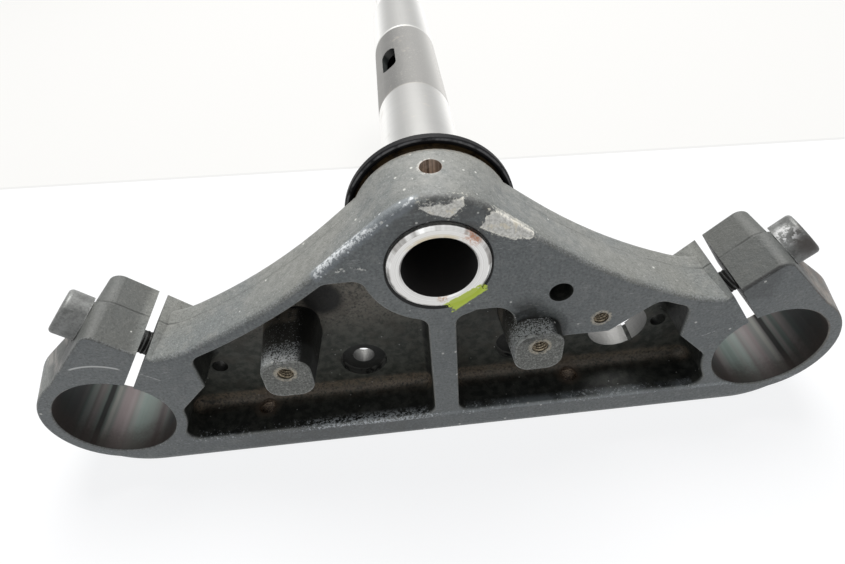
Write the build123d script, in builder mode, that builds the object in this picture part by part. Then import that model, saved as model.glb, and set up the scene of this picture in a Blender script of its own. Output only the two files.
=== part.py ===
from build123d import *
import math
import os

# A lower fork bracket for a motorcycle with its steering stem.
# Frame: X across the bike, Y up the steering axis, Z to the rear.
# The origin is on the steering axis in the plane of the bracket's underside.
# All sizes are in millimetres.

# Fork clamps
fork_spacing = 240.0
fork_offset = 57.5
fork_bore_d = 41.0
ring_wall = 8.0
neck_wall = 4.0
clamp_depth = 30.0
clamp_draft = 12.5
slot_angle = 55.6
slot_width = 3.0
lug_angle = 46.0
lug_reach = 39.2
lug_draft = 6.0
lug_upper_draft = 3.0
lug_side = 25.3
lug_upper_cut = 1.0
lug_inner_side = 6.0
lug_corner_r = 5.0
barrel_end = 30.0
barrel_side = 19.0
barrel_end_r = 7.0
clamp_edge_r = 0.8
bore_chamfer = 0.6
overcut = 1.0

# Bracket body
core_depth = 25.0
boss_r = 24.0
boss_flare = 2.4
boss_edge_r = 3.5
waist_in_x = 33.0
waist_in_z = 4.3
waist_out_x = 84.0
waist_out_z = -25.5
lug_root_x = 97.5
lug_root_z = -28.2
front_reach = 31.5
front_edge_r = 5.0
heel_in = 6.5
heel_r = 30.0
under_edge_r = 2.0
upper_edge_r = 4.0

# Pockets in the underside
pocket_depth = 16.5
pocket_round = 4.5
pocket_crown = 54.3
floor_round = 3.5
rim_round = 0.8
rib_width = 9.2
arch_wall = 4.6
front_wall_in = 18.0
boss_wall_r = 23.6
block_x = 83.7
block_top = 12.8
neck_x = 95.4
neck_top = 0.8

# Solid pad on the right of the stem
pad_left = 24.0
pad_top = 36.8
pad_low = 19.6
pad_step_x = 57.0
pad_slope = 0.81
pad_run = 30.0
pad_round = 7.5

# Mounting posts, one in each pocket
post_left_x = -52.3
post_right_x = 31.1
post_row = 24.2
post_width = 16.2
post_length = 17.2
post_drop = 3.2
post_round = 5.5
post_height = 7.3
post_draft = 4.0
post_edge_r = 0.8
post_hole_d = 5.4
post_hole_depth = 17.0

# Holes in the body
pad_hole_x = 38.3
pad_hole_row = 41.0
pad_hole_d = 7.8
pad_hole_depth = 15.0
pad_tap_x = 53.2
pad_tap_row = 27.0
pad_tap_d = 5.0
pad_tap_depth = 14.0
floor_hole_x = 30.0
floor_hole_row = -1.0
floor_hole_d = 7.8
floor_face_d = 17.8
floor_face_depth = 2.5
lock_x = 68.2
lock_row = 3.2
lock_bore_d = 22.4
lock_key_width = 1.6
lock_key_reach = 1.0
lock_key_angle = -53.0
drain_x = 84.0
drain_row = 4.0
drain_d = 6.0
wall_hole_left_x = -70.8
wall_hole_right_x = 50.4
wall_hole_depth = 12.0
wall_hole_d = 6.8
rear_hole_x = 0.2
rear_hole_depth = 14.0
rear_hole_d = 6.6
rear_hole_length = 8.0

# Steering stem
press_d = 31.4
press_gap = 0.45
press_gap_depth = 1.2
stem_d = 30.0
stem_bore_d = 23.0
stem_proud = 1.9
stem_end_chamfer = 0.9
stem_bore_chamfer = 0.5
shoulder_start = 216.0
shoulder_end = 235.0
stem_top_d = 25.0
stem_top = 285.0
stem_top_bore_d = 16.0
stem_bore_end = 205.0
stem_top_chamfer = 1.0
window_width = 7.6
window_low = 118.5
window_length = 21.0
window_turn = 36.0

# Dust seal
seal_d = 56.2
seal_base_d = 46.0
seal_lip_width = 2.2
seal_lip_gap = 0.3
seal_lip_r = 0.8
seal_web = 1.5
seal_side = 3.0
seal_height = 5.0
seal_land = 1.8
seal_groove_width = 2.4
seal_groove_depth = 1.2

# Pinch bolts
bolt_d = 8.0
bolt_reach = 29.2
bolt_level = 13.4
bolt_length = 34.0
bolt_head_d = 15.4
bolt_head_height = 7.8
bolt_socket = 6.0
bolt_socket_depth = 4.5
bolt_clearance = 0.25
bolt_face_clearance = 0.6
bolt_end_gap = 1.0
bolt_edge = 0.8
bolt_crown_r = 1.4

# Values worked out from the sizes above
fork_x = fork_spacing / 2
fork_z = -fork_offset
bore_r = fork_bore_d / 2
ring_r = bore_r + ring_wall
neck_r = bore_r + neck_wall
parting = clamp_depth / 2
bolt_run = lug_side - bolt_reach * math.tan(math.radians(slot_angle - lug_angle))
front_z = fork_z - front_reach
front_in_z = fork_z - front_wall_in
heel_x = fork_x - heel_in
press_r = press_d / 2
stem_r = stem_d / 2
seat_start = core_depth + seal_height


def level(depth):
    """The plane across the steering axis at a depth above the underside."""
    return Plane.XZ.offset(-depth)


def row(value):
    """Z of a row measured from the line through the two fork bores."""
    return fork_z + value


def clamp_plane(side, angle, depth=0.0):
    """A clamp's own plane: local x runs out from the bore at an angle."""
    turn = math.radians(angle)
    return Plane(
        origin=(side * fork_x, depth, fork_z),
        x_dir=(-side * math.cos(turn), 0, math.sin(turn)),
        z_dir=(0, -1, 0),
    )


def bolt_plane(side):
    """The plane of a pinch bolt's seat, facing out along the bolt."""
    turn = math.radians(lug_angle)
    out_x = side * math.sin(turn)
    out_z = math.cos(turn)
    return Plane(
        origin=(
            side * (fork_x - math.cos(turn) * bolt_reach) + out_x * lug_side,
            bolt_level,
            fork_z + math.sin(turn) * bolt_reach + out_z * lug_side,
        ),
        x_dir=(0, 1, 0),
        z_dir=(out_x, 0, out_z),
    )


def tangent_point(x, z, radius):
    """Where a line from (x, z) touches a circle about the steering axis."""
    far = math.hypot(x, z)
    turn = math.atan2(z, x) + math.acos(radius / far)
    return (radius * math.cos(turn), radius * math.sin(turn))


def rear_line(inset):
    """The rear edge of one arm, from the stem boss out to the clamp."""
    slope = math.atan2(waist_out_z - waist_in_z, waist_out_x - waist_in_x)
    shift_x = inset * math.sin(slope)
    shift_z = -inset * math.cos(slope)
    start = (waist_in_x + shift_x, waist_in_z + shift_z)
    touch = tangent_point(start[0], start[1], boss_r - inset)
    first = Line(touch, start)
    second = TangentArc(
        start, (waist_out_x + shift_x, waist_out_z + shift_z), tangent=first % 1
    )
    return first, second


# The body between the clamps
with BuildPart() as core:
    with BuildSketch(Plane.XZ):
        with BuildLine():
            front = Line((0, front_z), (heel_x, front_z))
            heel = TangentArc(
                front @ 1, (heel_x + heel_r, front_z + heel_r), tangent=front % 1
            )
            arm, waist = rear_line(0)
            root = TangentArc(waist @ 1, (lug_root_x, lug_root_z), tangent=waist % 1)
            Line(heel @ 1, root @ 1)
            ThreePointArc(arm @ 0, (0, boss_r), (-(arm @ 0).X, (arm @ 0).Y))
            mirror(front, about=Plane.YZ)
            mirror(heel, about=Plane.YZ)
            mirror(arm, about=Plane.YZ)
            mirror(waist, about=Plane.YZ)
            mirror(root, about=Plane.YZ)
            Line((-(heel @ 1).X, (heel @ 1).Y), (-(root @ 1).X, (root @ 1).Y))
        make_face()
    extrude(amount=-core_depth)
    underside = core.faces().sort_by(Axis.Y)[0].edges()
    fillet(underside.filter_by(lambda edge: edge.center().Z < fork_z - bore_r / 2), front_edge_r)
    underside = core.faces().sort_by(Axis.Y)[0].edges()
    fillet(underside.filter_by(lambda edge: edge.center().Z > lug_root_z), under_edge_r)
    upper = core.faces().sort_by(Axis.Y)[-1].edges()
    fillet(
        upper.filter_by(
            lambda edge: abs(edge.center().X) < lug_root_x or edge.center().Z < fork_z
        ),
        upper_edge_r,
    )

# The flared boss round the stem
with BuildPart() as hub:
    with BuildSketch(Plane.XY):
        with BuildLine():
            Polyline(
                (0, 0),
                (boss_r, 0),
                (boss_r + boss_flare, core_depth),
                (0, core_depth),
                close=True,
            )
        make_face()
    revolve(axis=Axis.Y)
    rims = hub.edges().filter_by(GeomType.CIRCLE).sort_by(Axis.Y)
    fillet(rims[0], under_edge_r)
    fillet(hub.edges().filter_by(GeomType.CIRCLE).sort_by(Axis.Y)[-1], boss_edge_r)


def lug(side, outer, draft, keep, end):
    """One casting half of the pinch lugs, before the slot parts them."""
    outer += parting * math.tan(math.radians(draft)) / 2
    width = outer + lug_inner_side
    middle = -side * (outer - lug_inner_side) / 2
    with BuildPart() as half:
        with BuildSketch(clamp_plane(side, lug_angle, parting)):
            with Locations((lug_reach / 2, middle)):
                RectangleRounded(lug_reach, width, lug_corner_r)
            with Locations((lug_reach / 2, middle + side * lug_corner_r)):
                Rectangle(lug_reach, width - 2 * lug_corner_r)
        extrude(amount=parting, both=True, taper=draft)
        split(bisect_by=level(parting), keep=keep)
        fillet(half.faces().sort_by(Axis.Y)[end].edges(), clamp_edge_r)
    return half.part


def clamp_block(side):
    """One fork clamp with its two pinch lugs, still solid."""
    with BuildPart() as block:
        with BuildSketch(clamp_plane(side, lug_angle, parting)):
            Circle(ring_r)
            with Locations((barrel_end - barrel_end_r, -side * barrel_side)):
                Circle(barrel_end_r)
            make_hull()
        extrude(amount=parting, both=True, taper=clamp_draft)
        fillet(block.faces().sort_by(Axis.Y)[0].edges(), clamp_edge_r)
        fillet(block.faces().sort_by(Axis.Y)[-1].edges(), clamp_edge_r)
        add(lug(side, lug_side, lug_draft, Keep.TOP, 0))
        add(lug(side, lug_side - lug_upper_cut, lug_upper_draft, Keep.BOTTOM, -1))
    return block.part


def pocket_tool(side):
    """The shape that clears one underside pocket, floor edges rounded."""
    with BuildPart() as tool:
        with BuildSketch(level(-overcut)) as outline:
            with BuildLine():
                rear, curve = rear_line(arch_wall)
                Polyline(
                    rear @ 0,
                    (0, 0),
                    (rib_width / 2, 0),
                    (rib_width / 2, front_in_z),
                    (fork_x, front_in_z),
                    (fork_x, row(neck_top)),
                    (neck_x, row(neck_top)),
                    (block_x, row(block_top)),
                    (block_x, (curve @ 1).Y),
                    curve @ 1,
                )
            make_face()
            Circle(boss_wall_r, mode=Mode.SUBTRACT)
            with Locations((fork_x, fork_z)):
                Circle(neck_r, mode=Mode.SUBTRACT)
            with Locations((0, row(pocket_crown) + boss_r)):
                Rectangle(fork_spacing, 2 * boss_r, mode=Mode.SUBTRACT)
            offset(amount=-pocket_round, mode=Mode.REPLACE)
            offset(amount=pocket_round, mode=Mode.REPLACE)
            if side > 0:
                with BuildLine():
                    Polyline(
                        (0, boss_r),
                        (0, row(pad_top)),
                        (pad_left, row(pad_top)),
                        (pad_left, row(pad_low)),
                        (pad_step_x, row(pad_low)),
                        (pad_step_x + pad_run, row(pad_low) + pad_run * pad_slope),
                        (pad_step_x + pad_run, boss_r),
                        close=True,
                    )
                make_face(mode=Mode.SUBTRACT)
                corner = (pad_left, row(pad_top), 0)
                fillet(outline.vertices().sort_by_distance(corner)[0], pad_round)
                notch = (pad_step_x + pad_run / 2, row(pad_low) + pad_run * pad_slope / 2, 0)
                fillet(outline.vertices().sort_by_distance(notch)[0], pocket_round)
        extrude(amount=-(pocket_depth + 1))
        fillet(tool.faces().sort_by(Axis.Y)[-1].edges(), floor_round)
    if side > 0:
        return tool.part
    return mirror(tool.part, about=Plane.YZ)



def post(x):
    """A mounting post that stands in a pocket and ends below the underside."""
    seat = Plane(
        origin=(x, -post_height, row(post_row - post_drop)),
        x_dir=(1, 0, 0),
        z_dir=(0, 1, 0),
    )
    with BuildPart() as column:
        with BuildSketch(seat):
            RectangleRounded(post_width, post_length, post_round)
        extrude(amount=post_height + pocket_depth + 1, taper=-post_draft)
        fillet(column.faces().sort_by(Axis.Y)[0].edges(), post_edge_r)
    return column.part


# The bracket: body, boss and clamps joined, then everything cut from it
with BuildPart() as lower_bracket:
    add(core.part)
    add(hub.part)
    for side in (-1, 1):
        add(clamp_block(side))
    for side in (-1, 1):
        add(pocket_tool(side), mode=Mode.SUBTRACT)
    rims = []
    for face in lower_bracket.faces():
        if abs(face.center().Y) < 0.001:
            for wire in face.inner_wires():
                rims.extend(wire.edges())
    fillet(rims, rim_round)
    for x in (post_left_x, post_right_x):
        add(post(x))

    # Fork bores, broken at both ends
    with BuildSketch(level(-overcut)):
        with Locations((-fork_x, fork_z), (fork_x, fork_z)):
            Circle(bore_r)
    extrude(amount=-(clamp_depth + 2 * overcut), mode=Mode.SUBTRACT)
    mouths = lower_bracket.edges().filter_by(GeomType.CIRCLE)
    mouths = mouths.filter_by(lambda edge: abs(edge.radius - bore_r) < 0.001)
    chamfer(mouths, bore_chamfer)

    # Pinch slots
    for side in (-1, 1):
        with BuildSketch(clamp_plane(side, slot_angle, -overcut)):
            with Locations((lug_reach, 0)):
                Rectangle(2 * (lug_reach - bore_r + neck_wall), slot_width)
        extrude(amount=-(clamp_depth + 2 * overcut), mode=Mode.SUBTRACT)

    # Pinch bolt seats, clearance holes and tapped holes
    for side in (-1, 1):
        with BuildSketch(bolt_plane(side)):
            Circle(bolt_head_d / 2 + bolt_face_clearance)
        extrude(amount=bolt_head_height, mode=Mode.SUBTRACT)
        with BuildSketch(bolt_plane(side)):
            Circle(bolt_d / 2 + bolt_clearance)
        extrude(amount=-bolt_run, mode=Mode.SUBTRACT)
        with BuildSketch(bolt_plane(side)):
            Circle(bolt_d / 2)
        extrude(amount=-(bolt_length + bolt_end_gap), mode=Mode.SUBTRACT)

    # Stem bore with a thin relief at the underside
    with BuildSketch(level(-overcut)):
        Circle(press_r)
    extrude(amount=-(core_depth + 2 * overcut), mode=Mode.SUBTRACT)
    with BuildSketch(level(0)):
        Circle(press_r + press_gap)
    extrude(amount=-press_gap_depth, mode=Mode.SUBTRACT)

    # Tapped holes in the posts
    with BuildSketch(level(-post_height)):
        with Locations((post_left_x, row(post_row)), (post_right_x, row(post_row))):
            Circle(post_hole_d / 2)
    extrude(amount=-post_hole_depth, mode=Mode.SUBTRACT)

    # Plain and tapped holes in the pad
    with BuildSketch(level(0)):
        with Locations((pad_hole_x, row(pad_hole_row))):
            Circle(pad_hole_d / 2)
    extrude(amount=-pad_hole_depth, mode=Mode.SUBTRACT)
    with BuildSketch(level(0)):
        with Locations((pad_tap_x, row(pad_tap_row))):
            Circle(pad_tap_d / 2)
    extrude(amount=-pad_tap_depth, mode=Mode.SUBTRACT)

    # Floor holes with a spot face
    with BuildSketch(level(pocket_depth)):
        with Locations((-floor_hole_x, row(floor_hole_row)), (floor_hole_x, row(floor_hole_row))):
            Circle(floor_face_d / 2)
    extrude(amount=-floor_face_depth, mode=Mode.SUBTRACT)
    with BuildSketch(level(pocket_depth)):
        with Locations((-floor_hole_x, row(floor_hole_row)), (floor_hole_x, row(floor_hole_row))):
            Circle(floor_hole_d / 2)
    extrude(amount=-core_depth, mode=Mode.SUBTRACT)

    # Steering lock bore with its key groove
    with BuildSketch(level(pocket_depth - floor_round)):
        with Locations((lock_x, row(lock_row))):
            Circle(lock_bore_d / 2)
            with Locations(Rotation(0, 0, lock_key_angle)):
                with Locations((lock_bore_d / 2, 0)):
                    Rectangle(2 * lock_key_reach, lock_key_width)
    extrude(amount=-core_depth, mode=Mode.SUBTRACT)

    # Drain holes by the clamps
    with BuildSketch(level(pocket_depth - floor_round)):
        with Locations((-drain_x, row(drain_row)), (drain_x, row(drain_row))):
            Circle(drain_d / 2)
    extrude(amount=-core_depth, mode=Mode.SUBTRACT)

    # Tapped holes through the front wall
    with BuildSketch(Plane.XY.offset(front_z - 1)):
        with Locations((wall_hole_left_x, wall_hole_depth), (wall_hole_right_x, wall_hole_depth)):
            Circle(wall_hole_d / 2)
    extrude(amount=front_reach - front_wall_in + floor_round + 1, mode=Mode.SUBTRACT)

    # Blind hole in the rear of the stem boss
    with BuildSketch(Plane.XY.offset(boss_r + boss_flare + 1)):
        with Locations((rear_hole_x, rear_hole_depth)):
            Circle(rear_hole_d / 2)
    extrude(amount=-(rear_hole_length + 1), mode=Mode.SUBTRACT)

# The hollow steering stem, pressed into the bracket
with BuildPart() as steering_stem:
    with BuildSketch(Plane.XY):
        with BuildLine():
            Polyline(
                (stem_bore_d / 2 + stem_bore_chamfer, -stem_proud),
                (press_r - stem_end_chamfer, -stem_proud),
                (press_r, -stem_proud + stem_end_chamfer),
                (press_r, seat_start),
                (stem_r, seat_start),
                (stem_r, shoulder_start),
                (stem_top_d / 2, shoulder_end),
                (stem_top_d / 2, stem_top - stem_top_chamfer),
                (stem_top_d / 2 - stem_top_chamfer, stem_top),
                (stem_top_bore_d / 2, stem_top),
                (stem_top_bore_d / 2, stem_bore_end),
                (stem_bore_d / 2, stem_bore_end),
                (stem_bore_d / 2, -stem_proud + stem_bore_chamfer),
                close=True,
            )
        make_face()
    revolve(axis=Axis.Y)
    turn = math.radians(window_turn)
    window_plane = Plane(
        origin=(0, window_low + window_length / 2, 0),
        x_dir=(0, 1, 0),
        z_dir=(-math.sin(turn), 0, math.cos(turn)),
    )
    with BuildSketch(window_plane):
        SlotOverall(window_length, window_width)
    extrude(amount=stem_d, mode=Mode.SUBTRACT)

# The rubber dust seal on the stem, resting on the boss
with BuildPart() as dust_seal:
    seal_r = seal_d / 2
    top = seat_start
    with BuildSketch(Plane.XY):
        with BuildLine():
            Polyline(
                (press_r, core_depth),
                (seal_base_d / 2, core_depth),
                (seal_base_d / 2 + seal_web, core_depth + seal_web),
                (seal_r - seal_lip_width, core_depth + seal_web),
                (seal_r - seal_lip_width, core_depth + seal_lip_gap),
                (seal_r, core_depth + seal_lip_gap),
                (seal_r, core_depth + seal_side),
                (seal_r - seal_land, top),
                (seal_r - 2 * seal_land, top),
                (seal_r - 2 * seal_land, top - seal_groove_depth),
                (seal_r - 2 * seal_land - seal_groove_width, top - seal_groove_depth),
                (seal_r - 2 * seal_land - seal_groove_width, top),
                (press_r, top),
                close=True,
            )
        make_face()
    revolve(axis=Axis.Y)
    lip_level = core_depth + seal_lip_gap
    lip_rims = dust_seal.edges().filter_by(GeomType.CIRCLE)
    lip_rims = lip_rims.filter_by(lambda edge: abs(edge.center().Y - lip_level) < 0.001)
    fillet(lip_rims, seal_lip_r)


def pinch_bolt(side):
    """A pinch bolt with a round socket head."""
    with BuildPart() as bolt:
        with BuildSketch(bolt_plane(side)):
            Circle(bolt_head_d / 2)
        extrude(amount=bolt_head_height)
        crown = bolt_plane(side).offset(bolt_head_height).origin
        rim = bolt.edges().filter_by(GeomType.CIRCLE).sort_by_distance(crown)
        fillet(rim[0], bolt_crown_r)
        with BuildSketch(bolt_plane(side)):
            Circle(bolt_d / 2)
        extrude(amount=-bolt_length)
        tip = bolt_plane(side).offset(-bolt_length).origin
        end = bolt.edges().filter_by(GeomType.CIRCLE).sort_by_distance(tip)
        chamfer(end[0], bolt_edge)
        with BuildSketch(bolt_plane(side).offset(bolt_head_height)):
            RegularPolygon(bolt_socket / 2, 6, major_radius=False)
        extrude(amount=-bolt_socket_depth, mode=Mode.SUBTRACT)
    return bolt.part


with BuildPart() as pinch_bolt_left:
    add(pinch_bolt(-1))

with BuildPart() as pinch_bolt_right:
    add(pinch_bolt(1))

os.makedirs("parts", exist_ok=True)

lower_bracket.part.label = "lower_bracket"
export_step(lower_bracket.part, "parts/lower_bracket.step")

steering_stem.part.label = "steering_stem"
export_step(steering_stem.part, "parts/steering_stem.step")

dust_seal.part.label = "dust_seal"
export_step(dust_seal.part, "parts/dust_seal.step")

pinch_bolt_left.part.label = "pinch_bolt_left"
export_step(pinch_bolt_left.part, "parts/pinch_bolt_left.step")

pinch_bolt_right.part.label = "pinch_bolt_right"
export_step(pinch_bolt_right.part, "parts/pinch_bolt_right.step")
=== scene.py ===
import math

import bpy
from mathutils import Matrix, Vector


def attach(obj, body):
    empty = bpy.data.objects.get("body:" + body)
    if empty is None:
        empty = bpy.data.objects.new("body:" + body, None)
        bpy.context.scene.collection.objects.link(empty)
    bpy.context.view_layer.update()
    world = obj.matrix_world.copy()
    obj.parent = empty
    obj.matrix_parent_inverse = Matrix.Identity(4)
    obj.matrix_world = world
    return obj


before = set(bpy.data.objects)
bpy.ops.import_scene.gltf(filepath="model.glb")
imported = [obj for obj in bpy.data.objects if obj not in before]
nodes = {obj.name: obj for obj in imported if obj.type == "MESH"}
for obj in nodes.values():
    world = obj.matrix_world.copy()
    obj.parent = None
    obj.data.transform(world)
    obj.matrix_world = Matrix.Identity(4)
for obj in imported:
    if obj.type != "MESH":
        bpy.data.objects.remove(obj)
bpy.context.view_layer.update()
scene = bpy.context.scene
scene.view_settings.view_transform = "Standard"

# Sizes of the bracket that the looks refer to, in millimetres
FORK_X = 120.0
FORK_Z = -57.5
BORE_R = 20.5
FRONT_Z = -89.0
POSTS = ((-52.3, -33.3), (31.1, -33.3))
POST_FACE = -7.3
POST_HOLE_R = 2.7
PAD_TAP = (53.2, -30.5)
PAD_TAP_R = 2.5
WALL_HOLES = (-70.8, 50.4)
WALL_HOLE_Y = 12.0
WALL_HOLE_R = 3.4
REAR_HOLE = (0.2, 14.0)
REAR_HOLE_R = 3.3
FLOOR_HOLES = (-30.0, 30.0)
FLOOR_HOLE_Z = -58.5
FLOOR_HOLE_R = 3.9
FLOOR_SEAT_R = 8.9
LOCK = (68.2, -54.3)
LOCK_R = 11.2
PARTING = 15.9
BOLT_TURN = math.radians(46.0)
BOLT_REACH = 29.2
BOLT_SIDE = 25.3
BOLT_LEVEL = 13.4
BOLT_RUN = 20.36
BOLT_R = 4.0
STEM_R = 15.0
STEM_BORE_R = 11.5
STEM_TOP = 285.0
STEM_TOP_R = 12.5
WINDOW_LOW = 118.5
WINDOW_HIGH = 139.5
GROUND_LOW = 95.5
GROUND_HIGH = 163.0
AXIS = (0.0, 0.0)
POCKET = [(4.0, -76.0), (83.0, -76.0), (83.0, -31.5), (33.0, -1.5), (0.0, 14.0)]
POCKET_END = [(80.0, -76.0), (107.0, -76.0), (107.0, -37.0), (83.0, -31.0), (80.0, -31.0)]

# Stretches over which one look gives way to another, in millimetres
POST_FADE = (-6.3, -6.9)
STEM_OUT = (28.0, 31.0)
RIGHT_POCKET = (8.0, 20.0)

# A millimetre in metres, and the stretch that a coordinate's gradient covers
MM = 0.001
SPAN = 800.0


def shared(call):
    """Makes equal uses of a call share one node."""
    def look_up(graph, *values):
        marks = [call.__name__]
        for value in values:
            linked = isinstance(value, bpy.types.NodeSocket)
            marks.append((value.node.name, value.identifier) if linked else value)
        key = tuple(marks)
        if key not in graph.made:
            graph.made[key] = call(graph, *values)
        return graph.made[key]
    return look_up


class Graph:
    """A material's node tree, with short calls for the nodes used here."""

    def __init__(self, name):
        self.made = {}
        self.material = bpy.data.materials.new(name)
        self.material.use_nodes = True
        self.tree = self.material.node_tree
        self.shader = self.tree.nodes["Principled BSDF"]
        self.place = self.new("ShaderNodeTexCoord").outputs["Object"]
        self.x = self.axis((0, 0, 0))
        self.y = self.axis((0, 0, -math.pi / 2))
        self.z = self.axis((0, math.pi / 2, 0))
        self.geometry = self.new("ShaderNodeNewGeometry")
        self.nx = self.facing((1, 0, 0))
        self.ny = self.facing((0, 1, 0))
        self.nz = self.facing((0, 0, 1))

    def new(self, kind, **settings):
        node = self.tree.nodes.new(kind)
        for key, value in settings.items():
            setattr(node, key, value)
        return node

    def put(self, socket, value):
        """Links a socket to another one, or sets its value."""
        if isinstance(value, bpy.types.NodeSocket):
            self.tree.links.new(value, socket)
        elif isinstance(value, tuple) and len(value) == 3 and socket.type == "RGBA":
            socket.default_value = (*value, 1.0)
        else:
            socket.default_value = value

    def axis(self, turn):
        """One coordinate in millimetres, read from a gradient along a turned axis."""
        drawn = self.new("ShaderNodeMapping")
        self.put(drawn.inputs["Vector"], self.place)
        self.put(drawn.inputs["Location"], (0.5, 0.0, 0.0))
        self.put(drawn.inputs["Rotation"], turn)
        self.put(drawn.inputs["Scale"], (1 / (SPAN * MM),) * 3)
        gradient = self.new("ShaderNodeTexGradient")
        self.put(gradient.inputs["Vector"], drawn.outputs[0])
        return self.math("MULTIPLY_ADD", gradient.outputs["Fac"], SPAN, -SPAN / 2)

    def facing(self, direction):
        """How far the surface faces along a direction: 1 along it, -1 against it."""
        node = self.new("ShaderNodeNormal")
        node.outputs["Normal"].default_value = direction
        self.put(node.inputs["Normal"], self.geometry.outputs["Normal"])
        return node.outputs["Dot"]

    @shared
    def math(self, operation, *values):
        node = self.new("ShaderNodeMath", operation=operation)
        for socket, value in zip(node.inputs, values):
            self.put(socket, value)
        return node.outputs[0]

    def times(self, *values):
        result = values[0]
        for value in values[1:]:
            result = self.math("MULTIPLY", result, value)
        return result

    def plus(self, *values):
        result = values[0]
        for value in values[1:]:
            result = self.math("ADD", result, value)
        return result

    def most(self, *values):
        result = values[0]
        for value in values[1:]:
            result = self.math("MAXIMUM", result, value)
        return result

    def flip(self, value):
        return self.math("SUBTRACT", 1.0, value)

    @shared
    def step(self, value, low, high, start=0.0, end=1.0):
        """A smooth climb from start to end between low and high; low may be above high."""
        if low > high:
            low, high, start, end = high, low, end, start
        node = self.new("ShaderNodeMapRange", interpolation_type="SMOOTHSTEP", clamp=False)
        for key, number in (("Value", value), ("From Min", low), ("From Max", high)):
            self.put(node.inputs[key], number)
        self.put(node.inputs["To Min"], start)
        self.put(node.inputs["To Max"], end)
        return node.outputs[0]

    def band(self, value, low, high, soft):
        """1 between low and high, with soft ends."""
        rise = self.step(value, low - soft, low + soft)
        fall = self.step(value, high + soft, high - soft)
        return self.times(rise, fall)

    @shared
    def noise(self, size, detail=2.0, rough=0.5, stretch=None):
        """Noise of a size in millimetres, drawn out along the axes by a stretch."""
        place = self.place
        if stretch is not None:
            drawn = self.new("ShaderNodeMapping")
            self.put(drawn.inputs["Vector"], place)
            self.put(drawn.inputs["Scale"], tuple(1 / part for part in stretch))
            place = drawn.outputs[0]
        node = self.new("ShaderNodeTexNoise")
        self.put(node.inputs["Vector"], place)
        self.put(node.inputs["Scale"], 1 / (size * MM))
        self.put(node.inputs["Detail"], detail)
        self.put(node.inputs["Roughness"], rough)
        return node.outputs[0]

    @shared
    def ripple(self, value, size, detail=2.0, rough=0.5):
        """Noise along one value only."""
        node = self.new("ShaderNodeTexNoise", noise_dimensions="1D")
        self.put(node.inputs["W"], value)
        self.put(node.inputs["Scale"], 1 / size)
        self.put(node.inputs["Detail"], detail)
        self.put(node.inputs["Roughness"], rough)
        return node.outputs[0]

    @shared
    def mix(self, factor, a, b):
        node = self.new("ShaderNodeMix", data_type="RGBA")
        self.put(node.inputs[0], factor)
        self.put(node.inputs[6], a)
        self.put(node.inputs[7], b)
        return node.outputs[2]

    @shared
    def blend(self, factor, a, b):
        node = self.new("ShaderNodeMix", data_type="FLOAT")
        self.put(node.inputs[0], factor)
        self.put(node.inputs[2], a)
        self.put(node.inputs[3], b)
        return node.outputs[0]

    def away(self, a, b, centre):
        """Distance from a centre in the plane of two coordinates."""
        da = self.math("SUBTRACT", a, centre[0])
        db = self.math("SUBTRACT", b, centre[1])
        return self.math("SQRT", self.plus(self.times(da, da), self.times(db, db)))

    def near(self, point, reach, soft):
        """1 within reach of a point in space, 0 beyond reach + soft."""
        flat = self.away(self.x, self.z, (point[0], point[2]))
        return self.step(self.away(flat, self.y, (0.0, point[1])), reach + soft, reach)

    def ray(self, a, b, start, end):
        """Distance in a plane of two coordinates from the line between two points."""
        sx, sz = start
        ex, ez = end
        dx, dz = ex - sx, ez - sz
        length = math.hypot(dx, dz)
        pa = self.math("SUBTRACT", a, sx)
        pb = self.math("SUBTRACT", b, sz)
        along = self.plus(self.times(pa, dx / length ** 2), self.times(pb, dz / length ** 2))
        along = self.math("MINIMUM", self.math("MAXIMUM", along, 0.0), 1.0)
        ra = self.math("SUBTRACT", pa, self.times(along, dx))
        rb = self.math("SUBTRACT", pb, self.times(along, dz))
        return self.math("SQRT", self.plus(self.times(ra, ra), self.times(rb, rb)))

    def shape(self, corners, a, b, soft):
        """1 inside a convex outline whose corners go anticlockwise in (a, b)."""
        inside = None
        for start, end in zip(corners, corners[1:] + corners[:1]):
            dx, dz = end[0] - start[0], end[1] - start[1]
            length = math.hypot(dx, dz)
            left = self.plus(
                self.times(a, -dz / length),
                self.times(b, dx / length),
                (start[0] * dz - start[1] * dx) / length,
            )
            inside = left if inside is None else self.math("MINIMUM", inside, left)
        return self.step(inside, -soft, soft)

    def dots(self, spacing, radius, share):
        """Round dots in a share of cells that lie a spacing apart."""
        node = self.new("ShaderNodeTexVoronoi")
        self.put(node.inputs["Vector"], self.place)
        self.put(node.inputs["Scale"], 1 / (spacing * MM))
        pick = self.new("ShaderNodeSeparateColor")
        self.put(pick.inputs[0], node.outputs["Color"])
        chosen = self.step(pick.outputs[0], 1 - share, 1.01 - share)
        wide = radius / spacing
        return self.times(self.step(node.outputs["Distance"], wide, 0.6 * wide), chosen)

    def bump(self, height, normal=None):
        """Shades the surface by a height in millimetres."""
        node = self.new("ShaderNodeBump")
        self.put(node.inputs["Distance"], MM)
        self.put(node.inputs["Height"], height)
        if normal is not None:
            self.put(node.inputs["Normal"], normal)
        self.put(self.shader.inputs["Normal"], node.outputs[0])

    def soften(self, reach, where):
        """The normal, rounded over creases where a mask is high."""
        node = self.new("ShaderNodeBevel", samples=6)
        self.put(node.inputs["Radius"], reach * MM)
        mix = self.new("ShaderNodeMix", data_type="VECTOR")
        self.put(mix.inputs[0], where)
        self.put(mix.inputs[4], self.geometry.outputs["Normal"])
        self.put(mix.inputs[5], node.outputs[0])
        return mix.outputs[1]

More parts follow.
